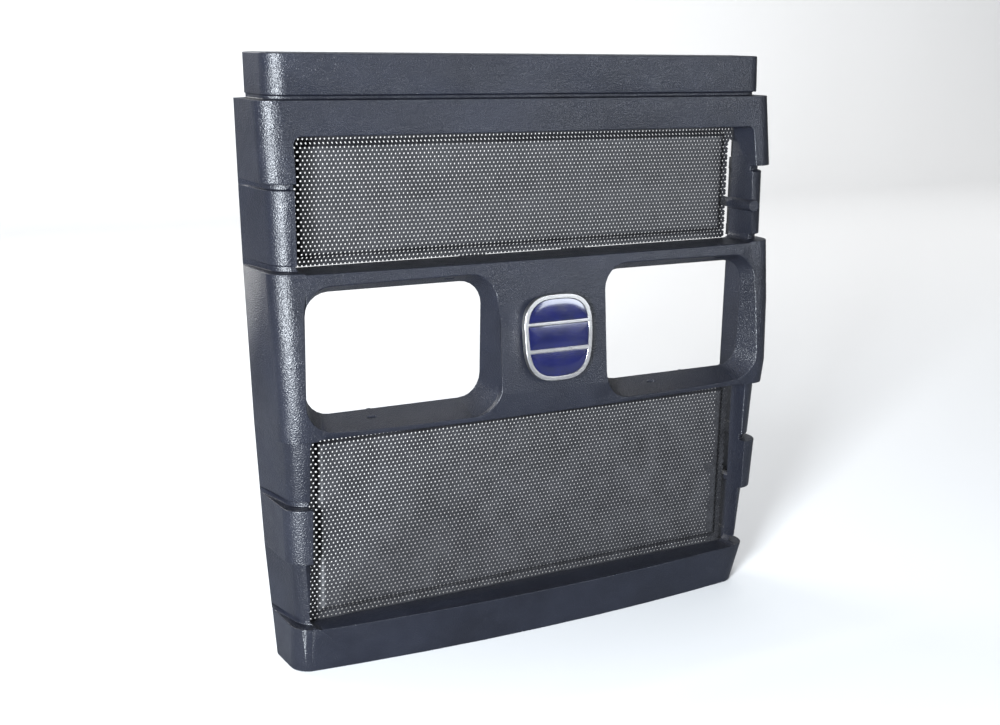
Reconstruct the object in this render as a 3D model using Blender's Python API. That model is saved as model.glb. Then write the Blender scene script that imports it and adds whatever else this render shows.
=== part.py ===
"""Tractor front grille: a one-piece frame, two perforated panels, a badge and their fixings.

Metres, +Z up, the front faces -Y. The grille stands on its lower edge.
"""

import math

import bmesh
import bpy

# Driving dimensions of the frame
WALL = 0.0035
TOP = 0.602
STEP_RISE = 0.0004
CORNER_RADIUS, CORNER_STEPS = 0.020, 6
BOW_SHARES = (0.8, 0.55, 0.28)
WIDTH_PROFILE = (
    (0.0, 0.274), (0.118, 0.2835), (0.242, 0.290), (0.402, 0.296), (0.484, 0.298), (TOP, 0.3005),
)
FRONT_PROFILE = (
    (0.0, 0.022), (0.050, 0.009), (0.242, 0.004), (0.268, 0.001),
    (0.337, 0.006), (0.402, 0.015), (0.484, 0.019), (0.559, 0.031), (TOP, 0.034),
)
REAR_PROFILE = ((0.0, 0.079), (TOP, 0.100))
BOW_PROFILE = ((0.0, 0.014), (0.242, 0.010), (0.402, 0.006), (TOP, 0.003))

# Bands of the frame from the bottom up: top height, then how far in from the proud bands the front corner,
# the front face and the back edge of the side lie. The recesses in the posts fade out towards the back.
RECESS, GROOVE = (0.006, 0.006, 0.0), (0.008, 0.010, 0.0)
PROUD = (0.0, 0.0, 0.0)
BANDS = (
    (0.050, *PROUD),
    (0.056, *GROOVE),
    (0.118, *RECESS),
    (0.174, *PROUD),
    (0.180, *GROOVE),
    (0.2415, *RECESS),
    (0.402, *PROUD),
    (0.408, *GROOVE),
    (0.478, *RECESS),
    (0.484, *GROOVE),
    (0.5594, *PROUD),
    (0.5635, 0.0120, 0.011, 0.0120),
    (TOP, 0.0110, 0.005, 0.0110),
)

# Cutters start in front of the frame and end behind it
IN_FRONT, BEHIND = -0.06, 0.15

# The two windows: half width, bottom, top, corner radius, depth of the walls round them
UPPER_WINDOW = (0.269, 0.4005, 0.527, 0.008, 0.0613)
LOWER_WINDOW = (0.2625, 0.0485, 0.2435, 0.010, 0.0345)

# The lamp openings: a rounded rectangle at the face, narrowing to a smaller one behind it
LAMP_FACE = (0.063, 0.2705, 0.2485, 0.395, 0.030)
LAMP_BACK = (0.071, 0.2605, 0.262, 0.3805, 0.024)
LAMP_FACE_Y, LAMP_BACK_Y = -0.001, 0.028
LAMP_CENTRE_X, LAMP_STEPS = 0.16575, 6
SLOT_SIZE = (0.009, 0.0025, 0.020)
SLOT_PLACES = ((-0.030, 0.252), (0.054, 0.3915))
SLOT_Y = 0.016

PEG_X, PEG_HEIGHTS, PEG_RADIUS = 0.2705, (0.122, 0.440), 0.0055
PEG_REAR, PEG_TIP = 0.082, 0.0025
PEG_SLEEVE_RADIUS, PEG_SLEEVE_FRONTS = 0.0068, {1: 0.020, -1: 0.036}

# The perforated panels
SHEET = 0.0012
DISH_DEPTH = 0.006
UPPER_RIM_Y, LOWER_RIM_Y = 0.0622, 0.0354
UPPER_PANEL = (0.2640, 0.2640, 0.3990, 0.5385)
LOWER_PANEL = (0.2590, 0.2570, 0.0445, 0.2455)
UPPER_FIELD = (0.2560, 0.2560, 0.4070, 0.5210)
LOWER_FIELD = (0.2500, 0.2480, 0.0560, 0.2365)
EAR_REACH, EAR_BOTTOM = 0.2870, 0.5080
FORK_HALF, FORK_REACH = 0.0150, 0.0135
SLOT_HALF, SLOT_ROOT = 0.0032, 0.0020

# Where the panel screws go, and how deep their bosses start
UPPER_FORKS = ((-0.062, 0.392), (0.062, 0.392))
UPPER_EARS = ((-0.2785, 0.5240), (0.2785, 0.5240))
LOWER_FORKS_TOP = ((-0.190, 0.2535), (0.190, 0.2535))
LOWER_FORKS_BOTTOM = ((-0.190, 0.0365), (0.190, 0.0365))
BOSS_RADIUS, BOSS_HOLE = 0.0063, 0.0028
BOSS_SIDES, PILOT_SIDES = 16, 10
HOLE_DEPTH = 0.0165

# Fixings
GAP = 0.0003
SCREW_RADIUS, SCREW_LENGTH = 0.0024, 0.014
HEAD_RADIUS, HEAD_HEIGHT = 0.0047, 0.0031
WASHER_RADIUS, WASHER_HOLE, WASHER_THICK = 0.0060, 0.0028, 0.0010
ROUND_SIDES = 12

# The badge
BADGE_HALF_WIDTH, BADGE_HALF_HEIGHT, BADGE_THICK = 0.040, 0.044, 0.0065
BADGE_RIM, BADGE_BAR, POCKET_DEPTH = 0.0045, 0.0036, 0.0022
BADGE_CENTRE = (0.0, -0.0052, 0.322)
BADGE_TILT = math.radians(5.4)
BADGE_POINTS = 48
BADGE_POWER, BADGE_EGG = 3.0, 0.05
BAR_HEIGHTS = (-0.0125, 0.0150)
BADGE_STUD_X, BADGE_STUD_RADIUS, BADGE_STUD_LENGTH = 0.020, 0.0020, 0.0165
PANEL_HOLE = 0.0026
BADGE_HOLE_SPAN = (-0.010, 0.030)
BADGE_WASHER_Y = 0.0065
INLAY_SUNK = 0.0004
NUT_FLATS, NUT_THICK, NUT_HOLE = 0.0070, 0.0032, 0.0024


def clear_scene():
    for obj in list(bpy.data.objects):
        bpy.data.objects.remove(obj, do_unlink=True)


def between(profile, z):
    """The value of a profile of (height, value) points at height z."""
    for (z0, v0), (z1, v1) in zip(profile, profile[1:]):
        if z <= z1:
            return v0 + (v1 - v0) * (z - z0) / (z1 - z0)
    return profile[-1][1]


def material(name, color, roughness, metallic=0.0):
    made = bpy.data.materials.new(name)
    made.use_nodes = True
    shader = made.node_tree.nodes["Principled BSDF"]
    shader.inputs["Base Color"].default_value = (*color, 1.0)
    shader.inputs["Roughness"].default_value = roughness
    shader.inputs["Metallic"].default_value = metallic
    return made


def new_object(name, bm, finish=None):
    bmesh.ops.recalc_face_normals(bm, faces=bm.faces)
    mesh = bpy.data.meshes.new(name)
    bm.to_mesh(mesh)
    bm.free()
    obj = bpy.data.objects.new(name, mesh)
    bpy.context.scene.collection.objects.link(obj)
    if finish:
        mesh.materials.append(finish)
    return obj


def loft(name, rings, finish=None):
    """A closed solid through rings that all have the same number of points."""
    bm = bmesh.new()
    loops = [[bm.verts.new(point) for point in ring] for ring in rings]
    count = len(loops[0])
    for low, high in zip(loops, loops[1:]):
        for i in range(count):
            j = (i + 1) % count
            bm.faces.new((low[i], low[j], high[j], high[i]))
    bm.faces.new(loops[0][::-1])
    bm.faces.new(loops[-1])
    return new_object(name, bm, finish)


def boolean(target, other, operation):
    """Applies a Boolean to target and removes the other object."""
    modifier = target.modifiers.new("cut", "BOOLEAN")
    modifier.operation = operation
    modifier.solver = "EXACT"
    modifier.object = other
    graph = bpy.context.evaluated_depsgraph_get()
    mesh = bpy.data.meshes.new_from_object(target.evaluated_get(graph))
    target.modifiers.clear()
    old = target.data
    target.data = mesh
    mesh.name = old.name
    bpy.data.objects.remove(other, do_unlink=True)
    return target


def cut(target, other):
    return boolean(target, other, "DIFFERENCE")


def join(target, other):
    return boolean(target, other, "UNION")


def keep_common(target, other):
    return boolean(target, other, "INTERSECT")


def rounded_rectangle(x0, x1, z0, z1, radius, steps=5):
    points = []
    corners = ((x0, z0, 180), (x1, z0, 270), (x1, z1, 0), (x0, z1, 90))
    for x, z, start in corners:
        cx = x + radius if x == x0 else x - radius
        cz = z + radius if z == z0 else z - radius
        for i in range(steps + 1):
            angle = math.radians(start + 90 * i / steps)
            points.append((cx + radius * math.cos(angle), cz + radius * math.sin(angle)))
    return points


def prism(name, outline, y0, y1, finish=None):
    """A solid of an outline in X and Z, from y0 to y1."""
    return loft(name, [[(x, y, z) for x, z in outline] for y in (y0, y1)], finish)


def turned(name, profile, finish=None, sides=ROUND_SIDES):
    """A solid turned about Y, from (radius, y) points that end on the axis or close on themselves."""
    bm = bmesh.new()
    loops = []
    for radius, y in profile:
        if radius == 0:
            loops.append([bm.verts.new((0, y, 0))] * sides)
            continue
        angles = [2 * math.pi * i / sides for i in range(sides)]
        loops.append([bm.verts.new((radius * math.cos(a), y, radius * math.sin(a))) for a in angles])
    if profile[0][0] > 0:
        loops.append(loops[0])
    for low, high in zip(loops, loops[1:]):
        for i in range(sides):
            j = (i + 1) % sides
            corners = list(dict.fromkeys((low[i], low[j], high[j], high[i])))
            bm.faces.new(corners)
    obj = new_object(name, bm, finish)
    obj.data.shade_smooth()
    obj.data.set_sharp_from_angle(angle=math.radians(35))
    return obj


def rod(name, x, z, radius, y0, y1, sides=ROUND_SIDES):
    obj = turned(name, [(0, y0), (radius, y0), (radius, y1), (0, y1)], sides=sides)
    obj.location = (x, 0, z)
    bpy.context.view_layer.update()
    return obj


# The frame


def plan_ring(z, side_in, front_in, rear_extra=0.0, rear_in=0.0):
    """The frame's outline seen from above at height z, with bowed front and rounded front corners."""
    half = between(WIDTH_PROFILE, z) - side_in
    half_rear = between(WIDTH_PROFILE, z) - rear_in
    front = between(FRONT_PROFILE, z) + front_in
    rear = between(REAR_PROFILE, z) + rear_extra
    bow = between(BOW_PROFILE, z)
    inner = half - CORNER_RADIUS
    right = [(half_rear, rear, z)]
    for i in range(CORNER_STEPS + 1):
        angle = math.pi / 2 * i / CORNER_STEPS
        x = inner + CORNER_RADIUS * math.cos(angle)
        right.append((x, front + CORNER_RADIUS * (1 - math.sin(angle)), z))
    for share in BOW_SHARES:
        right.append((inner * share, front - bow * (1 - share * share), z))
    left = [(-x, y, z) for x, y, z in reversed(right)]
    return right + [(0.0, front - bow, z)] + left


def outer_rings():
    rings = []
    low = 0.0
    for high, side_in, front_in, rear_in in BANDS:
        middle = [z for z, _ in FRONT_PROFILE if low < z < high]
        rings += [plan_ring(z, side_in, front_in, 0.0, rear_in) for z in (low, *middle, high)]
        low = high + STEP_RISE
    return rings


def inner_rings():
    """The hollow behind the face, a wall's thickness inside it and open at the back."""
    bounds = [WALL]
    for (high, _, step, _), (_, _, above, _) in zip(BANDS, BANDS[1:]):
        bounds.append(high - WALL if above > step else high + WALL)
    bounds.append(TOP - WALL)
    rings = []
    for (_, side_in, front_in, rear_in), low, high in zip(BANDS, bounds, bounds[1:]):
        middle = [z for z, _ in FRONT_PROFILE if low + WALL < z < high - WALL]
        for z in (low + STEP_RISE, *middle, high):
            rings.append(plan_ring(z, side_in + WALL, front_in + WALL, 0.02, rear_in + WALL))
    return rings


def window_outline(window, grow=0.0):
    half, bottom, top, radius, _ = window
    return rounded_rectangle(-half - grow, half + grow, bottom - grow, top + grow, radius + grow)


def lamp_rings(side, grow, front_y):
    """Rings of a lamp opening from in front of the face to its back edge, on one side of the frame."""
    rings = []
    places = ((front_y, LAMP_FACE), (LAMP_FACE_Y, LAMP_FACE), (LAMP_BACK_Y, LAMP_BACK))
    for y, (x0, x1, z0, z1, radius) in places:
        outline = rounded_rectangle(x0 - grow, x1 + grow, z0 - grow, z1 + grow, radius + grow, LAMP_STEPS)
        rings.append([(side * x, y, z) for x, z in outline])
    return rings


def peg(side, z):
    window = UPPER_WINDOW if z > UPPER_WINDOW[1] else LOWER_WINDOW
    sleeve_end = window[4] - GAP
    front = min(PEG_SLEEVE_FRONTS[side], sleeve_end - PEG_SLEEVE_RADIUS)
    profile = [
        (0, front), (PEG_SLEEVE_RADIUS, front), (PEG_SLEEVE_RADIUS, sleeve_end), (PEG_RADIUS, sleeve_end),
        (PEG_RADIUS, PEG_REAR - PEG_TIP), (PEG_RADIUS - PEG_TIP, PEG_REAR), (0, PEG_REAR),
    ]
    made = turned("peg", profile)
    made.location = (side * PEG_X, 0, z)
    bpy.context.view_layer.update()
    return made


def screw_places():
    """Every panel screw: panel, x, z and the height in Y of the face that its boss ends at."""
    upper = [("upper", x, z, UPPER_WINDOW[4]) for x, z in UPPER_EARS + UPPER_FORKS]
    lower = [("lower", x, z, LOWER_WINDOW[4]) for x, z in LOWER_FORKS_TOP + LOWER_FORKS_BOTTOM]
    return upper + lower


def make_hollow():
    """The space behind the face, less the window walls, lamp bezels and bosses that stand in it."""
    hollow = loft("hollow", inner_rings())
    for window in (UPPER_WINDOW, LOWER_WINDOW):
        cut(hollow, prism("surround", window_outline(window, WALL), IN_FRONT, window[4]))
    for side in (-1, 1):
        cut(hollow, loft("bezel", lamp_rings(side, WALL, IN_FRONT)))
    for _, x, z, face in screw_places():
        cut(hollow, rod("boss", x, z, BOSS_RADIUS, IN_FRONT, face + GAP, BOSS_SIDES))
    return hollow


def make_frame(finish):
    frame = loft("grille_frame", outer_rings(), finish)
    cut(frame, make_hollow())
    for window in (UPPER_WINDOW, LOWER_WINDOW):
        cut(frame, prism("window", window_outline(window), IN_FRONT, BEHIND))
    for side in (-1, 1):
        cut(frame, lamp_cutter(side))
        for z in PEG_HEIGHTS:
            join(frame, peg(side, z))
    for _, x, z, face in screw_places():
        cut(frame, rod("pilot", x, z, BOSS_HOLE, face - HOLE_DEPTH, BEHIND, PILOT_SIDES))
    for side in (-1, 1):
        for offset, z in SLOT_PLACES:
            cut(frame, slot_cutter(side * LAMP_CENTRE_X + offset, z))
        cut(frame, badge_rod("badge_hole", side, PANEL_HOLE, *BADGE_HOLE_SPAN))
    return frame


def lamp_cutter(side):
    rings = lamp_rings(side, 0.0, IN_FRONT)
    rings.append([(x, BEHIND, z) for x, _, z in rings[-1]])
    return loft("lamp_opening", rings)


def slot_cutter(x, z):
    bm = bmesh.new()
    bmesh.ops.create_cube(bm, size=1.0)
    bmesh.ops.scale(bm, vec=SLOT_SIZE, verts=bm.verts)
    bmesh.ops.translate(bm, vec=(x, SLOT_Y, z), verts=bm.verts)
    return new_object("slot", bm)


# The perforated panels, here as plain dished sheets


def edge_with_notches(x0, x1, z, outward, forks):
    """Points along one edge from x0 to x1 with a forked tab at each x in forks, +1 up or -1 down."""
    way = 1 if x1 > x0 else -1
    points = [(x0, z)]
    for x in sorted(forks, key=lambda value: value * way):
        tip, root = z + outward * FORK_REACH, z + outward * SLOT_ROOT
        for reach, height in (
            (-FORK_HALF, z), (-FORK_HALF, tip), (-SLOT_HALF, tip), (-SLOT_HALF, root),
            (SLOT_HALF, root), (SLOT_HALF, tip), (FORK_HALF, tip), (FORK_HALF, z),
        ):
            points.append((x + way * reach, height))
    return points + [(x1, z)]


def upper_outline():
    half, _, bottom, top = UPPER_PANEL
    low, slot_root = EAR_BOTTOM, UPPER_EARS[1][0] - SLOT_HALF
    screw = UPPER_EARS[1][1]
    right = [
        (half, low), (EAR_REACH, low), (EAR_REACH, screw - SLOT_HALF), (slot_root, screw - SLOT_HALF),
        (slot_root, screw + SLOT_HALF), (EAR_REACH, screw + SLOT_HALF), (EAR_REACH, top),
    ]
    left = [(-x, z) for x, z in reversed(right)]
    return edge_with_notches(-half, half, bottom, -1, [x for x, _ in UPPER_FORKS]) + right + left


def lower_outline():
    half_top, half_bottom, bottom, top = LOWER_PANEL
    low = edge_with_notches(-half_bottom, half_bottom, bottom, -1, [x for x, _ in LOWER_FORKS_BOTTOM])
    return low + edge_with_notches(half_top, -half_top, top, 1, [x for x, _ in LOWER_FORKS_TOP])


def field_solid(field, shrink, y_back, y_front):
    """The dish as a solid that narrows by the dish's depth from y_back to y_front."""
    half_top, half_bottom, bottom, top = field
    rings = []
    for y, inset in ((y_back, shrink), (y_front, shrink + DISH_DEPTH)):
        rings.append([
            (-half_bottom + inset, y, bottom + inset), (half_bottom - inset, y, bottom + inset),
            (half_top - inset, y, top - inset), (-half_top + inset, y, top - inset),
        ])
    return loft("dish", rings)


def make_panel(name, outline, field, rim_y, finish):
    panel = prism(name, outline, rim_y, rim_y + SHEET, finish)
    join(panel, field_solid(field, 0.0, rim_y + SHEET / 2, rim_y - DISH_DEPTH))
    cut(panel, field_solid(field, SHEET, rim_y + SHEET + 0.0001, rim_y - DISH_DEPTH + SHEET))
    return panel


# Fixings


def washer_profile(y):
    top = y + WASHER_THICK
    return [(WASHER_HOLE, y), (WASHER_RADIUS, y), (WASHER_RADIUS, top), (WASHER_HOLE, top)]


def screw_profile(y):
    """A pan-head screw whose head rests at y and whose shank runs towards -Y."""
    tip = y - SCREW_LENGTH
    return [
        (0, tip), (SCREW_RADIUS * 0.6, tip), (SCREW_RADIUS, tip + 0.001), (SCREW_RADIUS, y), (HEAD_RADIUS, y),
        (HEAD_RADIUS, y + HEAD_HEIGHT * 0.55), (HEAD_RADIUS * 0.72, y + HEAD_HEIGHT), (0, y + HEAD_HEIGHT),
    ]


def make_panel_fixings(steel, zinc):
    counts = {"upper": 0, "lower": 0}
    for panel, x, z, _ in screw_places():
        counts[panel] += 1
        rim_y = UPPER_RIM_Y if panel == "upper" else LOWER_RIM_Y
        washer_y = rim_y + SHEET + GAP
        label = f"{panel}_{{}}_{counts[panel]}"
        washer = turned(label.format("washer"), washer_profile(washer_y), zinc)
        screw = turned(label.format("screw"), screw_profile(washer_y + WASHER_THICK + GAP), steel)
        for piece in (washer, screw):
            piece.location = (x, 0, z)


# The badge, built in its own upright frame and then tilted to the face


def badge_outline(inset):
    points = []
    for i in range(BADGE_POINTS):
        angle = 2 * math.pi * i / BADGE_POINTS
        across, up = math.cos(angle), math.sin(angle)
        x = math.copysign(abs(across) ** (2 / BADGE_POWER), across)
        z = math.copysign(abs(up) ** (2 / BADGE_POWER), up)
        width = BADGE_HALF_WIDTH - inset
        height = BADGE_HALF_HEIGHT - inset
        points.append((x * width * (1 + BADGE_EGG * z), z * height))
    return points


def pocket_heights():
    """The bottom and top of each pocket between the bars."""
    edge = BADGE_HALF_HEIGHT
    cuts = [-edge, *BAR_HEIGHTS, edge]
    half = BADGE_BAR / 2
    return [(low + half, high - half) for low, high in zip(cuts, cuts[1:])]


def pocket_solid(name, low, high, inset, y0, y1, finish=None):
    made = prism(name, badge_outline(BADGE_RIM + inset), y0, y1, finish)
    reach = BADGE_HALF_WIDTH * 2
    strip = [(-reach, low + inset), (reach, low + inset), (reach, high - inset), (-reach, high - inset)]
    return keep_common(made, prism("strip", strip, y0 - 0.01, y1 + 0.01))


def tilt_to_face(obj):
    obj.location = BADGE_CENTRE
    obj.rotation_euler = (-BADGE_TILT, 0, 0)
    bpy.context.view_layer.update()
    return obj


def badge_rod(name, side, radius, y0, y1):
    made = turned(name, [(0, y0), (radius, y0), (radius, y1), (0, y1)])
    for vertex in made.data.vertices:
        vertex.co.x += side * BADGE_STUD_X
    return tilt_to_face(made)


def stud_ring(side, radius, count, y):
    """A ring of points round a stud's axis."""
    angles = [2 * math.pi * i / count for i in range(count)]
    return [(side * BADGE_STUD_X + radius * math.cos(a), y, radius * math.sin(a)) for a in angles]


def nut_at(name, side, y, finish):
    corner = NUT_FLATS / math.sqrt(3)
    nut = loft(name, [stud_ring(side, corner, 6, h) for h in (y, y + NUT_THICK)], finish)
    ends = (y - NUT_THICK, y + 2 * NUT_THICK)
    cut(nut, loft("nut_hole", [stud_ring(side, NUT_HOLE, ROUND_SIDES, h) for h in ends]))
    return tilt_to_face(nut)


def make_badge(chrome, blue, steel, zinc):
    body = prism("badge_body", badge_outline(0.0), -BADGE_THICK, 0.0, chrome)
    front = -BADGE_THICK
    for low, high in pocket_heights():
        cut(body, pocket_solid("pocket", low, high, 0.0, front - 0.002, front + POCKET_DEPTH))
    tilt_to_face(body)
    for label, (low, high) in zip(("bottom", "middle", "top"), pocket_heights()):
        deep = front + POCKET_DEPTH - GAP
        tilt_to_face(pocket_solid(f"badge_inlay_{label}", low, high, GAP, front + INLAY_SUNK, deep, blue))
    for label, side in (("left", -1), ("right", 1)):
        stud = badge_rod(f"badge_stud_{label}", side, BADGE_STUD_RADIUS, GAP, BADGE_STUD_LENGTH)
        stud.data.materials.append(steel)
        washer = turned(f"badge_washer_{label}", washer_profile(BADGE_WASHER_Y), zinc)
        for vertex in washer.data.vertices:
            vertex.co.x += side * BADGE_STUD_X
        tilt_to_face(washer)
        nut_at(f"badge_nut_{label}", side, BADGE_WASHER_Y + WASHER_THICK + GAP, zinc)


def centre_in_depth():
    """Moves everything along Y so that the whole grille's box is centred on the origin."""
    bpy.context.view_layer.update()
    heights = []
    for obj in bpy.data.objects:
        heights += [(obj.matrix_world @ vertex.co).y for vertex in obj.data.vertices]
    shift = -(min(heights) + max(heights)) / 2
    for obj in bpy.data.objects:
        obj.location.y += shift
    return shift


def main():
    clear_scene()
    plastic = material("frame_plastic", (0.045, 0.050, 0.060), 0.42)
    sheet = material("panel_sheet", (0.012, 0.012, 0.013), 0.45)
    chrome = material("badge_chrome", (0.75, 0.74, 0.70), 0.18, 1.0)
    blue = material("badge_enamel", (0.010, 0.018, 0.120), 0.12)
    steel = material("screw_steel", (0.45, 0.45, 0.46), 0.30, 1.0)
    zinc = material("washer_zinc", (0.55, 0.55, 0.56), 0.35, 1.0)
    make_frame(plastic)
    make_panel("upper_mesh", upper_outline(), UPPER_FIELD, UPPER_RIM_Y, sheet)
    make_panel("lower_mesh", lower_outline(), LOWER_FIELD, LOWER_RIM_Y, sheet)
    make_panel_fixings(steel, zinc)
    make_badge(chrome, blue, steel, zinc)
    print("moved along Y by", centre_in_depth())


main()
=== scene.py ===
import math

import bmesh
import bpy
import numpy as np
from mathutils import Matrix, Vector
from mathutils.bvhtree import BVHTree


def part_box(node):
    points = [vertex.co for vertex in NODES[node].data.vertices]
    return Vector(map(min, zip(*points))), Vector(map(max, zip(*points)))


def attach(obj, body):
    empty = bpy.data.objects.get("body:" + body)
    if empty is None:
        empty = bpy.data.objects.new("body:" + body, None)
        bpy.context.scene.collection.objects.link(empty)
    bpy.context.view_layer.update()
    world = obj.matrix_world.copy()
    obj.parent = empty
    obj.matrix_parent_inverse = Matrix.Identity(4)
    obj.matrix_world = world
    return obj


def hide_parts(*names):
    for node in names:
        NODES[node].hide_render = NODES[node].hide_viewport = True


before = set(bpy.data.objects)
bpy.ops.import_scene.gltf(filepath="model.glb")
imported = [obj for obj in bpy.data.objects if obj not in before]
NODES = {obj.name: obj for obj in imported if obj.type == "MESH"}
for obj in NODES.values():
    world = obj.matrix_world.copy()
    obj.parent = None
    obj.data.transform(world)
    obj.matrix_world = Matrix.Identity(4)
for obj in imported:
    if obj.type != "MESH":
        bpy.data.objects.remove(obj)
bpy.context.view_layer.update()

# The main camera, placed against the grille's own frame
CAMERA_AT = Vector((-0.765, -1.2650, 0.6267))
CAMERA_AZIMUTH, CAMERA_ELEVATION, CAMERA_ROLL = 30.348, 12.606, 1.016
CAMERA_LENS, SENSOR = 52.0, 36.0

# Strength of the surroundings as light and as seen by the camera
WORLD_LIGHT, WORLD_SEEN = 0.16, 0.80

# Perforated sheet: hole pitch, width of a hole, sheet thickness and depth of the dish
PITCH, HOLE_WIDTH, SHEET, DISH = 0.0045, 0.0018, 0.0012, 0.006
FORK_HALF, FORK_REACH, SLOT_HALF, SLOT_ROOT = 0.0150, 0.0135, 0.0032, 0.0020
EAR_X, EAR_Z, EAR_REACH, EAR_BOTTOM = 0.2785, 0.5240, 0.2870, 0.5080
FOLD_DEPTH = 0.0012

# Edge rounding: how much of the shortest neighbouring edge it may take, and the repair of strays
ROOM_SHARE, LEAST_WEIGHT, STRAY_REACH, BEVEL_ATTEMPTS = 0.40, 0.08, 0.0018, 12
REACH_GROWTH, STRAY_SHARE, SHORTEST_SQUARED = 1.5, 0.5, 1e-12
FRAME_ROUNDING, BADGE_ROUNDING, ROUNDING_STEPS = 0.0011, 0.0007, 3
MERGE_DISTANCE = 3e-5

# Fixings
SHANK_RADIUS, SHANK_LENGTH, THREAD_DEPTH, THREAD_PITCH = 0.0024, 0.014, 0.00035, 0.0012
HEAD_RADIUS, HEAD_HEIGHT = 0.0047, 0.0031
WASHER_RADIUS, WASHER_HOLE, WASHER_THICK = 0.0060, 0.0028, 0.0010
BADGE_TILT = math.radians(5.4)
CENTRING = 0.042094
BADGE_CENTRE = Vector((0.0, -0.0052 - CENTRING, 0.322))
FILL_INSETS = (0.0, 0.0004, 0.0012, 0.0026, 0.0045, 0.0070)
WASHER_AT, NUT_GAP = 0.0065, 0.0003
STUD_X, STUD_RADIUS, STUD_LENGTH = 0.020, 0.0020, 0.0165


# Materials


class Nodes:
    """A material with a Principled shader and short calls to add and join nodes."""

    def __init__(self, name):
        self.made = bpy.data.materials.new(name)
        self.made.use_nodes = True
        self.tree = self.made.node_tree
        self.shader = self.tree.nodes["Principled BSDF"]
        self.place = self.add("ShaderNodeTexCoord").outputs["Object"]

    def add(self, kind, **values):
        node = self.tree.nodes.new(kind)
        for key, value in values.items():
            setattr(node, key, value)
        return node

    def link(self, source, target):
        self.tree.links.new(source, target)

    def set(self, **values):
        for key, value in values.items():
            self.shader.inputs[key.replace("_", " ")].default_value = value

    def noise(self, scale, detail=2.0, roughness=0.5, stretch=None):
        node = self.add("ShaderNodeTexNoise")
        node.inputs["Scale"].default_value = scale
        node.inputs["Detail"].default_value = detail
        node.inputs["Roughness"].default_value = roughness
        source = self.place
        if stretch:
            mapping = self.add("ShaderNodeMapping")
            mapping.inputs["Scale"].default_value = stretch
            self.link(self.place, mapping.inputs["Vector"])
            source = mapping.outputs["Vector"]
        self.link(source, node.inputs["Vector"])
        return node.outputs["Fac"]

    def remap(self, source, low, high, out_low, out_high):
        node = self.add("ShaderNodeMapRange")
        for key, value in (("From Min", low), ("From Max", high), ("To Min", out_low), ("To Max", out_high)):
            node.inputs[key].default_value = value
        self.link(source, node.inputs["Value"])
        return node.outputs["Result"]

    def ramp(self, source, *stops):
        node = self.add("ShaderNodeValToRGB")
        elements = node.color_ramp.elements
        while len(elements) < len(stops):
            elements.new(0.5)
        for element, (place, color) in zip(elements, stops):
            element.position = place
            element.color = (*color, 1.0)
        self.link(source, node.inputs["Fac"])
        return node.outputs["Color"]

    def bump(self, *layers):
        """Bump layers of (height, strength, distance in metres), finest last."""
        normal = None
        for height, strength, distance in layers:
            node = self.add("ShaderNodeBump")
            node.inputs["Strength"].default_value = strength
            node.inputs["Distance"].default_value = distance
            self.link(height, node.inputs["Height"])
            if normal:
                self.link(normal, node.inputs["Normal"])
            normal = node.outputs["Normal"]
        self.link(normal, self.shader.inputs["Normal"])


def plastic_material():
    """Charcoal moulding with a fine grain, a faint flow mottle and slightly uneven gloss."""
    m = Nodes("frame_plastic")
    mottle = m.noise(14.0, 4.0, 0.6)
    m.link(
        m.ramp(mottle, (0.3, (0.0035, 0.0040, 0.0068)), (0.7, (0.0062, 0.0072, 0.0120))),
        m.shader.inputs["Base Color"],
    )
    gloss = m.noise(55.0, 5.0, 0.65)
    m.link(m.remap(gloss, 0.3, 0.7, 0.32, 0.44), m.shader.inputs["Roughness"])
    grain = m.noise(760.0, 1.0, 0.5)
    waves = m.noise(9.0, 2.0, 0.4)
    m.bump((waves, 0.10, 0.004), (grain, 0.9, 0.0007))
    m.set(Specular_IOR_Level=0.36)
    return m.made


def sheet_material():
    """Black stoved coating on perforated steel, with dust and slight orange peel."""
    m = Nodes("panel_sheet")
    dust = m.noise(38.0, 6.0, 0.7)
    m.link(
        m.ramp(dust, (0.35, (0.006, 0.006, 0.007)), (0.75, (0.014, 0.014, 0.016))),
        m.shader.inputs["Base Color"],
    )
    m.link(m.remap(dust, 0.3, 0.75, 0.40, 0.58), m.shader.inputs["Roughness"])
    m.bump((m.noise(1100.0, 2.0, 0.5), 0.25, 0.0002))
    m.set(Specular_IOR_Level=0.4)
    return m.made


def chrome_material():
    m = Nodes("badge_chrome")
    wear = m.noise(160.0, 5.0, 0.6)
    m.link(
        m.ramp(wear, (0.3, (0.37, 0.36, 0.35)), (0.7, (0.41, 0.40, 0.39))),
        m.shader.inputs["Base Color"],
    )
    m.link(m.remap(wear, 0.3, 0.7, 0.27, 0.31), m.shader.inputs["Roughness"])
    m.bump((m.noise(420.0, 3.0, 0.5, (1.0, 1.0, 9.0)), 0.05, 0.0001))
    m.set(Metallic=1.0)
    return m.made


def enamel_material():
    """Dark blue poured resin: a deep colour under a hard clear surface."""
    m = Nodes("badge_enamel")
    depth = m.noise(75.0, 3.0, 0.5)
    m.link(
        m.ramp(depth, (0.3, (0.001, 0.002, 0.018)), (0.75, (0.002, 0.003, 0.034))),
        m.shader.inputs["Base Color"],
    )
    m.link(m.remap(m.noise(30.0, 4.0, 0.6), 0.3, 0.7, 0.14, 0.24), m.shader.inputs["Roughness"])
    m.bump((m.noise(60.0, 2.0, 0.4), 0.08, 0.0006))
    m.set(Coat_Weight=0.5, Coat_Roughness=0.06)
    return m.made


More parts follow.
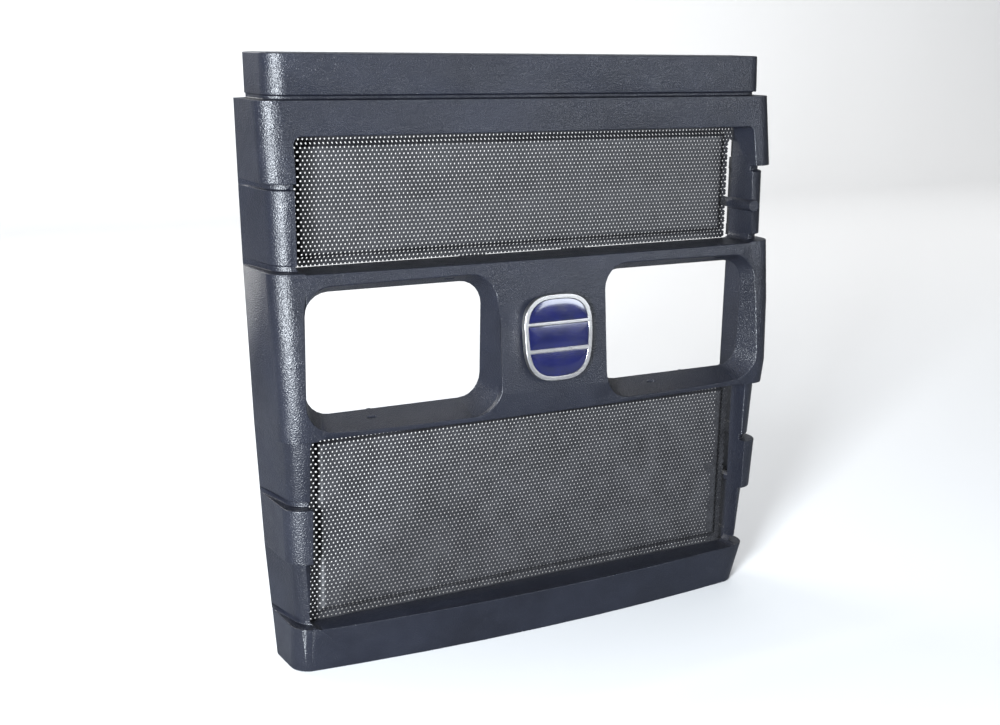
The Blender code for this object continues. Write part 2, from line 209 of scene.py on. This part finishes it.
def metal_material(name, low, high, smooth, rough, stretch):
    m = Nodes(name)
    stain = m.noise(260.0, 5.0, 0.65)
    m.link(m.ramp(stain, (0.3, low), (0.7, high)), m.shader.inputs["Base Color"])
    m.link(m.remap(stain, 0.3, 0.7, smooth, rough), m.shader.inputs["Roughness"])
    m.bump((m.noise(900.0, 3.0, 0.5, stretch), 0.15, 0.0001))
    m.set(Metallic=1.0)
    return m.made


FINISH = {
    "frame_plastic": plastic_material(),
    "panel_sheet": sheet_material(),
    "badge_chrome": chrome_material(),
    "badge_enamel": enamel_material(),
    "screw_steel": metal_material(
        "screw_steel", (0.38, 0.38, 0.39), (0.60, 0.60, 0.61), 0.22, 0.36, (1, 1, 8)
    ),
    "washer_zinc": metal_material(
        "washer_zinc", (0.46, 0.47, 0.50), (0.66, 0.66, 0.67), 0.28, 0.44, (6, 1, 1)
    ),
}


# Making pieces


def finish_piece(obj, body, slot, *replaced, sharp=32.0):
    """Gives a placed object its finish, lets it ride on a body and stand for CAD nodes."""
    bpy.context.scene.collection.objects.link(obj)
    if not obj.data.materials:
        obj.data.materials.append(FINISH[slot])
        obj.data.shade_smooth()
        obj.data.set_sharp_from_angle(angle=math.radians(sharp))
    bpy.context.view_layer.update()
    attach(obj, body)
    if replaced:
        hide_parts(*replaced)


def piece(name, mesh, body, slot, *replaced, sharp=30.0):
    """A new finished object with a mesh that is already in its place."""
    obj = bpy.data.objects.new(name, mesh)
    finish_piece(obj, body, slot, *replaced, sharp=sharp)
    return obj


def mesh_of(name, bm):
    bmesh.ops.recalc_face_normals(bm, faces=bm.faces)
    mesh = bpy.data.meshes.new(name)
    bm.to_mesh(mesh)
    bm.free()
    return mesh


def whole_faces(node, flat=0.15):
    """A CAD node's mesh as a bmesh, its triangles joined back into whole faces."""
    bm = bmesh.new()
    bm.from_mesh(NODES[node].data)
    bmesh.ops.transform(bm, matrix=NODES[node].matrix_world, verts=bm.verts)
    bmesh.ops.remove_doubles(bm, verts=bm.verts, dist=MERGE_DISTANCE)
    bmesh.ops.dissolve_limit(bm, angle_limit=math.radians(flat), verts=bm.verts, edges=bm.edges)
    return bm


def edge_room(mesh, width, angle):
    """End points of every edge, and a bevel weight that the neighbouring edges leave room for."""
    bm = bmesh.new()
    bm.from_mesh(mesh)
    ends = np.array([[tuple(vert.co) for vert in edge.verts] for edge in bm.edges])
    weights = np.zeros(len(bm.edges))
    for i, edge in enumerate(bm.edges):
        if len(edge.link_faces) == 2 and edge.calc_face_angle(0.0) > math.radians(angle):
            room = min(near.calc_length() for vert in edge.verts for near in vert.link_edges)
            weight = min(1.0, ROOM_SHARE * room / width)
            weights[i] = weight if weight > LEAST_WEIGHT else 0.0
    bm.free()
    return ends, weights


def stray_points(obj, surface, limit):
    """Points of the bevelled mesh that lie further than the limit from the surface it started as."""
    made = obj.evaluated_get(bpy.context.evaluated_depsgraph_get()).to_mesh()
    made.calc_loop_triangles()
    points = {tuple(vert.co) for vert in made.vertices if surface.find_nearest(vert.co)[3] > limit}
    for triangle in made.loop_triangles:
        if surface.find_nearest(Vector(triangle.center))[3] > limit:
            points.update(tuple(made.vertices[i].co) for i in triangle.vertices)
    return np.array(sorted(points))


def bevel(obj, width, segments, angle=34.0):
    """Rounds the sharp edges, and leaves sharp the few whose rounding would stray off the surface."""
    modifier = obj.modifiers.new("edges", "BEVEL")
    modifier.width = width
    modifier.segments = segments
    modifier.limit_method = "WEIGHT"
    modifier.use_clamp_overlap = False
    modifier.harden_normals = True
    modifier.miter_outer = "MITER_SHARP"
    bm = bmesh.new()
    bm.from_mesh(obj.data)
    surface = BVHTree.FromBMesh(bm)
    bm.free()
    ends, weights = edge_room(obj.data, width, angle)
    stored = obj.data.attributes.new("bevel_weight_edge", "FLOAT", "EDGE")
    start, along = ends[:, 0], ends[:, 1] - ends[:, 0]
    length = np.maximum((along * along).sum(1), SHORTEST_SQUARED)
    for attempt in range(BEVEL_ATTEMPTS):
        stored.data.foreach_set("value", weights.astype(np.float32))
        obj.data.update()
        reach = STRAY_REACH * REACH_GROWTH ** attempt
        points = stray_points(obj, surface, STRAY_SHARE * width)
        if not len(points):
            break
        for point in points:
            share = np.clip(((point - start) * along).sum(1) / length, 0.0, 1.0)
            gap = np.linalg.norm(start + along * share[:, None] - point, axis=1)
            weights[gap < reach] = 0.0
    return obj


def rings_mesh(name, rings, close_ends=True, closed_loop=False):
    """A mesh through rings of points that all have the same count."""
    bm = bmesh.new()
    loops = [[bm.verts.new(point) for point in ring] for ring in rings]
    pairs = list(zip(loops, loops[1:]))
    if closed_loop:
        pairs.append((loops[-1], loops[0]))
    count = len(loops[0])
    for low, high in pairs:
        for i in range(count):
            j = (i + 1) % count
            bm.faces.new((low[i], low[j], high[j], high[i]))
    if close_ends and not closed_loop:
        bm.faces.new(loops[0][::-1])
        bm.faces.new(loops[-1])
    return mesh_of(name, bm)


def circle(radius, y, sides):
    angles = [2 * math.pi * i / sides for i in range(sides)]
    return [(radius * math.cos(a), y, radius * math.sin(a)) for a in angles]


# The perforated panels


def inside(points, outline):
    """Which (x, z) points lie inside a closed outline."""
    x, z = points[:, 0], points[:, 1]
    found = np.zeros(len(points), bool)
    for (x0, z0), (x1, z1) in zip(outline, outline[1:] + outline[:1]):
        if z0 == z1:
            continue
        crosses = (z0 > z) != (z1 > z)
        found ^= crosses & (x < (x1 - x0) * (z - z0) / (z1 - z0) + x0)
    return found


def forked_edge(x0, x1, z, outward, forks):
    way = 1 if x1 > x0 else -1
    points = [(x0, z)]
    for x in sorted(forks, key=lambda value: value * way):
        tip, root = z + outward * FORK_REACH, z + outward * SLOT_ROOT
        for reach, height in (
            (-FORK_HALF, z), (-FORK_HALF, tip), (-SLOT_HALF, tip), (-SLOT_HALF, root),
            (SLOT_HALF, root), (SLOT_HALF, tip), (FORK_HALF, tip), (FORK_HALF, z),
        ):
            points.append((x + way * reach, height))
    return points + [(x1, z)]


def eared_outline(half, bottom, top, forks):
    root = EAR_X - SLOT_HALF
    right = [
        (half, EAR_BOTTOM), (EAR_REACH, EAR_BOTTOM), (EAR_REACH, EAR_Z - SLOT_HALF),
        (root, EAR_Z - SLOT_HALF), (root, EAR_Z + SLOT_HALF), (EAR_REACH, EAR_Z + SLOT_HALF),
        (EAR_REACH, top),
    ]
    left = [(-x, z) for x, z in reversed(right)]
    return forked_edge(-half, half, bottom, -1, forks) + right + left


def hole_web(outline):
    """Points and faces of a flat web between staggered holes, cut off along the holes at its edges."""
    xs, zs = [x for x, _ in outline], [z for _, z in outline]
    row_step = PITCH * math.sqrt(3) / 2
    rows = int((max(zs) - min(zs)) / row_step) + 5
    columns = 2 * (int((max(xs) - min(xs)) / PITCH / 2) + 3)
    j, i = np.meshgrid(np.arange(rows), np.arange(columns), indexing="ij")
    cx = (i - columns / 2 + 0.5 * (j % 2)) * PITCH
    cz = min(zs) - 2 * row_step + j * row_step
    angles = np.radians(30 + 60 * np.arange(6))
    radius = HOLE_WIDTH / math.sqrt(3)
    points = np.stack(
        [cx[..., None] + radius * np.cos(angles), cz[..., None] + radius * np.sin(angles)], axis=-1
    ).reshape(-1, 2)
    faces = []
    for row in range(rows - 1):
        lean = row % 2
        for column in range(1, columns - 1):
            a = 6 * (row * columns + column)
            b = a + 6
            c = 6 * ((row + 1) * columns + column + lean)
            d = c - 6
            faces += [
                (a + 5, b + 3, b + 2, a), (a, c + 4, c + 3, a + 1), (a + 1, d + 5, d + 4, a + 2),
                (a, b + 2, c + 4), (a + 1, c + 3, d + 5),
            ]
    kept = inside(points, outline)
    return points, largest_patch([face for face in faces if all(kept[v] for v in face)])


def largest_patch(faces):
    """The faces of the largest patch joined edge to edge."""
    owner = {}
    parent = list(range(len(faces)))

    def root(k):
        while parent[k] != k:
            parent[k] = parent[parent[k]]
            k = parent[k]
        return k

    for k, face in enumerate(faces):
        for u, v in zip(face, face[1:] + face[:1]):
            other = owner.setdefault((min(u, v), max(u, v)), k)
            parent[root(k)] = root(other)
    roots = [root(k) for k in range(len(faces))]
    best = max(set(roots), key=roots.count)
    return [face for face, r in zip(faces, roots) if r == best]


def dish_height(points, field, fold_z):
    """How far forward of its rim the sheet stands at each point: a pressed dish with one soft fold."""
    half_top, half_bottom, bottom, top = field
    x, z = np.abs(points[:, 0]), points[:, 1]
    half = half_bottom + (half_top - half_bottom) * (z - bottom) / (top - bottom)
    inset = np.minimum(np.minimum(z - bottom, top - z), half - x)
    t = np.clip(inset / (DISH * 1.15), 0, 1)
    rise = DISH * t * t * (3 - 2 * t)
    if fold_z:
        reach = np.where(z > fold_z, top - fold_z, fold_z - bottom)
        rise -= t * FOLD_DEPTH * (1 - np.clip(np.abs(z - fold_z) / reach, 0, 1))
    return rise


def perforated_panel(name, outline, field, node, fold_z=0.0):
    points, faces = hole_web(outline)
    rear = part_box(node)[1][1]
    front_y = rear - SHEET - dish_height(points, field, fold_z)
    used = sorted({v for face in faces for v in face})
    index = {v: k for k, v in enumerate(used)}
    faces = [tuple(index[v] for v in face) for face in faces]
    count = len(used)
    front = [(points[v, 0], front_y[v], points[v, 1]) for v in used]
    back = [(x, y + SHEET, z) for x, y, z in front]
    edges = {(u, v) for face in faces for u, v in zip(face, face[1:] + face[:1])}
    walls = [(v, u, u + count, v + count) for u, v in edges if (v, u) not in edges]
    walls.sort()
    behind = [tuple(v + count for v in reversed(face)) for face in faces]
    mesh = bpy.data.meshes.new(name)
    mesh.from_pydata(front + back, [], faces + behind + walls)
    mesh.validate()
    return mesh


# Outlines, and the dished field of each panel: half widths at top and bottom, its bottom and its top
UPPER_FORKS, LOWER_FORKS, UPPER_FOLD = (-0.062, 0.062), (-0.190, 0.190), 0.462
UPPER_OUTLINE = eared_outline(0.2640, 0.3990, 0.5385, UPPER_FORKS)
LOWER_OUTLINE = forked_edge(-0.2570, 0.2570, 0.0445, -1, LOWER_FORKS) + forked_edge(
    0.2590, -0.2590, 0.2455, 1, LOWER_FORKS
)
UPPER_FIELD = (0.2560, 0.2560, 0.4070, 0.5210)
LOWER_FIELD = (0.2500, 0.2480, 0.0560, 0.2365)

piece(
    "upper_perforated_sheet",
    perforated_panel("upper_perforated_sheet", UPPER_OUTLINE, UPPER_FIELD, "upper_mesh", UPPER_FOLD),
    "upper_panel", "panel_sheet", "upper_mesh",
)
piece(
    "lower_perforated_sheet",
    perforated_panel("lower_perforated_sheet", LOWER_OUTLINE, LOWER_FIELD, "lower_mesh"),
    "lower_panel", "panel_sheet", "lower_mesh",
)


# The frame


moulding = piece(
    "frame_moulding", mesh_of("frame_moulding", whole_faces("grille_frame")),
    "frame", "frame_plastic", "grille_frame",
)
bevel(moulding, FRAME_ROUNDING, ROUNDING_STEPS)


# Fixings


def thread_rings(radius, start, end, sides=24, steps=8):
    """Rings of a threaded shank from start to end along Y, its ridge climbing one pitch each turn."""
    count = max(2, int((end - start) / THREAD_PITCH * steps))
    rings = []
    for k in range(count + 1):
        y = start + (end - start) * k / count
        fade = min(1.0, (y - start) / THREAD_PITCH, (end - y) / THREAD_PITCH)
        ring = []
        for i in range(sides):
            turn = i / sides
            wave = abs(2 * ((y / THREAD_PITCH - turn) % 1.0) - 1)
            r = radius - THREAD_DEPTH * fade * (1 - wave)
            ring.append((r * math.cos(2 * math.pi * turn), y, r * math.sin(2 * math.pi * turn)))
        rings.append(ring)
    return rings


def cross_cutter():
    """The tapered cross of a driver recess, at the top of a head that rests at y = 0."""
    bm = bmesh.new()
    for long_axis in (0, 2):
        deep, proud = HEAD_HEIGHT - 0.0019, HEAD_HEIGHT + 0.001
        corners = []
        for y, reach, half in ((deep, 0.0010, 0.00035), (proud, 0.0031, 0.00065)):
            for a, b in ((-1, -1), (1, -1), (1, 1), (-1, 1)):
                point = [0.0, y, 0.0]
                point[long_axis] = a * reach
                point[2 - long_axis] = b * half
                corners.append(bm.verts.new(point))
        bm.faces.new(corners[:4])
        bm.faces.new(corners[4:])
        for i in range(4):
            j = (i + 1) % 4
            bm.faces.new((corners[i], corners[j], corners[4 + j], corners[4 + i]))
    return mesh_of("cross_cutter", bm)


def screw_mesh():
    tip = -SHANK_LENGTH
    rings = [circle(SHANK_RADIUS * 0.55, tip, 24)]
    rings += thread_rings(SHANK_RADIUS, tip + 0.0008, -0.0012)
    rings += [circle(SHANK_RADIUS, 0.0, 24), circle(HEAD_RADIUS, 0.0, 24)]
    for i in range(7):
        angle = math.radians(15 + 12.5 * i)
        rings.append(circle(HEAD_RADIUS * math.cos(angle - 0.26) ** 0.6, HEAD_HEIGHT * math.sin(angle), 24))
    head = bpy.data.objects.new("screw_blank", rings_mesh("screw", rings))
    cutter = bpy.data.objects.new("cross_cutter", cross_cutter())
    for obj in (head, cutter):
        bpy.context.scene.collection.objects.link(obj)
    modifier = head.modifiers.new("recess", "BOOLEAN")
    modifier.operation, modifier.solver, modifier.object = "DIFFERENCE", "EXACT", cutter
    modifier.use_self = True
    mesh = bpy.data.meshes.new_from_object(head.evaluated_get(bpy.context.evaluated_depsgraph_get()))
    for obj in (head, cutter):
        bpy.data.objects.remove(obj, do_unlink=True)
    return mesh


def washer_mesh():
    soft = 0.00018
    profile = (
        (WASHER_HOLE, soft), (WASHER_HOLE + soft, 0), (WASHER_RADIUS - soft, 0), (WASHER_RADIUS, soft),
        (WASHER_RADIUS, WASHER_THICK - soft), (WASHER_RADIUS - soft, WASHER_THICK),
        (WASHER_HOLE + soft, WASHER_THICK), (WASHER_HOLE, WASHER_THICK - soft),
    )
    return rings_mesh("washer", [circle(r, y, 40) for r, y in profile], closed_loop=True)


def nut_mesh():
    """A chamfered hexagon nut with a bore."""
    flats, thick, bore, sides = 0.0070, 0.0032, 0.0024, 48
    chamfer = 0.0004

    def hexagon(limit, y):
        ring = []
        for i in range(sides):
            angle = 2 * math.pi * i / sides
            reach = flats / 2 / math.cos((angle + math.pi / 6) % (math.pi / 3) - math.pi / 6)
            ring.append((min(reach, limit) * math.cos(angle), y, min(reach, limit) * math.sin(angle)))
        return ring

    corner = flats / math.sqrt(3)
    rings = [
        circle(bore, chamfer, sides), circle(bore + chamfer, 0, sides), hexagon(flats / 2, 0),
        hexagon(corner, chamfer), hexagon(corner, thick - chamfer), hexagon(flats / 2, thick),
        circle(bore + chamfer, thick, sides), circle(bore, thick - chamfer, sides),
    ]
    return rings_mesh("nut", rings, closed_loop=True)


def make_panel_fixings():
    """Screws and washers, each centred on its CAD node and seated at its own y = 0."""
    kinds = (("screw", screw_mesh(), "screw_steel"), ("washer", washer_mesh(), "washer_zinc"))
    for panel in ("upper", "lower"):
        for number in range(1, 5):
            for kind, mesh, slot in kinds:
                node = f"{panel}_{kind}_{number}"
                low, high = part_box(node)
                seat = high[1] - HEAD_HEIGHT if kind == "screw" else low[1]
                obj = bpy.data.objects.new(f"{node}_finished", mesh)
                obj.location = ((low[0] + high[0]) / 2, seat, (low[2] + high[2]) / 2)
                finish_piece(obj, f"{panel}_panel", slot, node)


make_panel_fixings()


# The badge


def poured_fill(node, rise=0.0006, thick=0.0014):
    """A badge fill whose forward face swells into a low dome, on the outline of its CAD solid."""
    bm = whole_faces(node, 0.3)
    face = max((f for f in bm.faces if f.normal.y < -0.9), key=lambda f: f.calc_area())
    out, across = face.normal.copy(), Vector((1.0, 0.0, 0.0))
    upward = across.cross(out)
    loop = [v.co.copy() for v in face.verts]
    bm.free()
    u, w = [p.dot(across) for p in loop], [p.dot(upward) for p in loop]
    middle = (min(u) + max(u)) / 2, (min(w) + max(w)) / 2
    half = (max(u) - min(u)) / 2, (max(w) - min(w)) / 2
    rings = [[p - out * thick for p in loop]]
    widest = half[1]
    for inset in (*FILL_INSETS, widest - 0.0008):
        share = inset / widest
        height = rise * (1 - (1 - share) ** 2.6)
        ring = []
        for p, a, b in zip(loop, u, w):
            move = across * ((middle[0] - a) * inset / half[0]) + upward * ((middle[1] - b) * inset / half[1])
            ring.append(p + move + out * height)
        rings.append(ring)
    return rings_mesh(node, rings)


def make_badge():
    body = piece(
        "badge_carrier", mesh_of("badge_carrier", whole_faces("badge_body", 0.3)),
        "frame", "badge_chrome", "badge_body",
    )
    bevel(body, BADGE_ROUNDING, ROUNDING_STEPS, 40.0)
    for label in ("bottom", "middle", "top"):
        node = f"badge_inlay_{label}"
        piece(f"badge_fill_{label}", poured_fill(node), "frame", "badge_enamel", node, sharp=50.0)
    stud_rings = [circle(STUD_RADIUS, 0.0003, 24)]
    stud_rings += thread_rings(STUD_RADIUS, 0.0006, STUD_LENGTH - 0.0003)
    stud_rings += [circle(STUD_RADIUS * 0.8, STUD_LENGTH, 24)]
    tilt = Matrix.Rotation(-BADGE_TILT, 4, "X")
    parts = (
        ("stud", rings_mesh("stud", stud_rings), 0.0, "screw_steel"),
        ("washer", washer_mesh(), WASHER_AT, "washer_zinc"),
        ("nut", nut_mesh(), WASHER_AT + WASHER_THICK + NUT_GAP, "washer_zinc"),
    )
    for kind, mesh, y, slot in parts:
        for label, side in (("left", -1), ("right", 1)):
            node = f"badge_{kind}_{label}"
            obj = bpy.data.objects.new(f"{node}_finished", mesh)
            along = Matrix.Translation((side * STUD_X, y, 0))
            obj.matrix_world = Matrix.Translation(BADGE_CENTRE) @ tilt @ along
            finish_piece(obj, "frame", slot, node)


make_badge()


# Stage, light and camera


def stage_material(name, seen, reflected, roughness):
    """A pale matt surface that shows darker in reflections, so that gloss reads as shape."""
    m = Nodes(name)
    m.set(Roughness=roughness)
    mix = m.add("ShaderNodeMix", data_type="RGBA")
    first, second = [i for i in mix.inputs if i.type == "RGBA"]
    first.default_value = (*seen, 1.0)
    second.default_value = (*reflected, 1.0)
    m.link(m.add("ShaderNodeLightPath").outputs["Is Glossy Ray"], mix.inputs[0])
    m.link(next(i for i in mix.outputs if i.type == "RGBA"), m.shader.inputs["Base Color"])
    return m.made


def make_stage():
    """A pale floor that sweeps up into a backdrop behind the grille."""
    radius, depth, width, height = 1.0, 3.2, 9.0, 5.0
    profile = [(-6.0, 0.0), (depth, 0.0)]
    for i in range(1, 13):
        angle = math.radians(90 * i / 12)
        profile.append((depth + radius * math.sin(angle), radius * (1 - math.cos(angle))))
    profile.append((depth + radius, height))
    bm = bmesh.new()
    sides = [[bm.verts.new((x, y, z)) for y, z in profile] for x in (-width, width)]
    for k in range(len(profile) - 1):
        bm.faces.new((sides[0][k], sides[1][k], sides[1][k + 1], sides[0][k + 1]))
    mesh = mesh_of("sweep", bm)
    mesh.materials.append(stage_material("studio_sweep", (0.53, 0.53, 0.53), (0.20, 0.21, 0.23), 0.75))
    mesh.shade_smooth()
    sweep = bpy.data.objects.new("studio_sweep", mesh)
    bpy.context.scene.collection.objects.link(sweep)


def area_light(name, at, aim, size, power, color):
    data = bpy.data.lights.new(name, "AREA")
    data.shape = "RECTANGLE"
    data.size, data.size_y = size
    data.energy = power
    data.color = color
    obj = bpy.data.objects.new(name, data)
    obj.location = at
    obj.rotation_euler = (Vector(aim) - Vector(at)).to_track_quat("-Z", "Y").to_euler()
    bpy.context.scene.collection.objects.link(obj)


LIGHTS = (
    # name, place, aim, size, watts, colour
    ("key_left", (-1.80, -1.62, 0.62), (-0.29, -0.02, 0.34), (0.45, 1.0), 330, (0.88, 0.94, 1.0)),
    ("overhead", (0.4, 0.2, 3.0), (0.0, 0.2, 0.0), (3.0, 2.0), 30, (0.94, 0.97, 1.0)),
    ("front_fill", (1.9, -2.5, 1.05), (0.0, 0.0, 0.5), (1.2, 1.0), 58, (0.86, 0.92, 1.0)),
    ("rear_fill", (-0.9, 2.3, 1.5), (0.0, 0.1, 0.3), (1.4, 1.0), 34, (1.0, 1.0, 1.0)),
    ("backdrop_light", (1.9, 1.6, 2.9), (1.9, 3.8, 0.8), (9.0, 1.2), 260, (1.0, 1.0, 1.0)),
)


def make_lights():
    for light in LIGHTS:
        area_light(*light)
    world = bpy.data.worlds.new("studio")
    world.use_nodes = True
    background = world.node_tree.nodes["Background"]
    background.inputs["Color"].default_value = (0.93, 0.96, 1.0, 1.0)
    seen = world.node_tree.nodes.new("ShaderNodeLightPath").outputs["Is Camera Ray"]
    strength = world.node_tree.nodes.new("ShaderNodeMapRange")
    strength.inputs["To Min"].default_value = WORLD_LIGHT
    strength.inputs["To Max"].default_value = WORLD_SEEN
    world.node_tree.links.new(seen, strength.inputs["Value"])
    world.node_tree.links.new(strength.outputs["Result"], background.inputs["Strength"])
    bpy.context.scene.world = world
    bpy.context.scene.view_settings.view_transform = "Standard"


def make_camera():
    azimuth, elevation = math.radians(CAMERA_AZIMUTH), math.radians(CAMERA_ELEVATION)
    roll = math.radians(CAMERA_ROLL)
    forward = Vector((
        math.sin(azimuth) * math.cos(elevation), math.cos(azimuth) * math.cos(elevation), -math.sin(elevation),
    ))
    level = Vector((math.cos(azimuth), -math.sin(azimuth), 0.0))
    upright = level.cross(forward)
    right = math.cos(roll) * level + math.sin(roll) * upright
    up = right.cross(forward)
    turn = Matrix((right, up, -forward)).transposed().to_4x4()
    data = bpy.data.cameras.new("photo_view")
    data.lens, data.sensor_width = CAMERA_LENS, SENSOR
    data.shift_x, data.shift_y = -0.0118, -0.0105
    camera = bpy.data.objects.new("photo_view", data)
    camera.matrix_world = Matrix.Translation(CAMERA_AT) @ turn
    bpy.context.scene.collection.objects.link(camera)
    bpy.context.scene.camera = camera


make_stage()
make_lights()
make_camera()
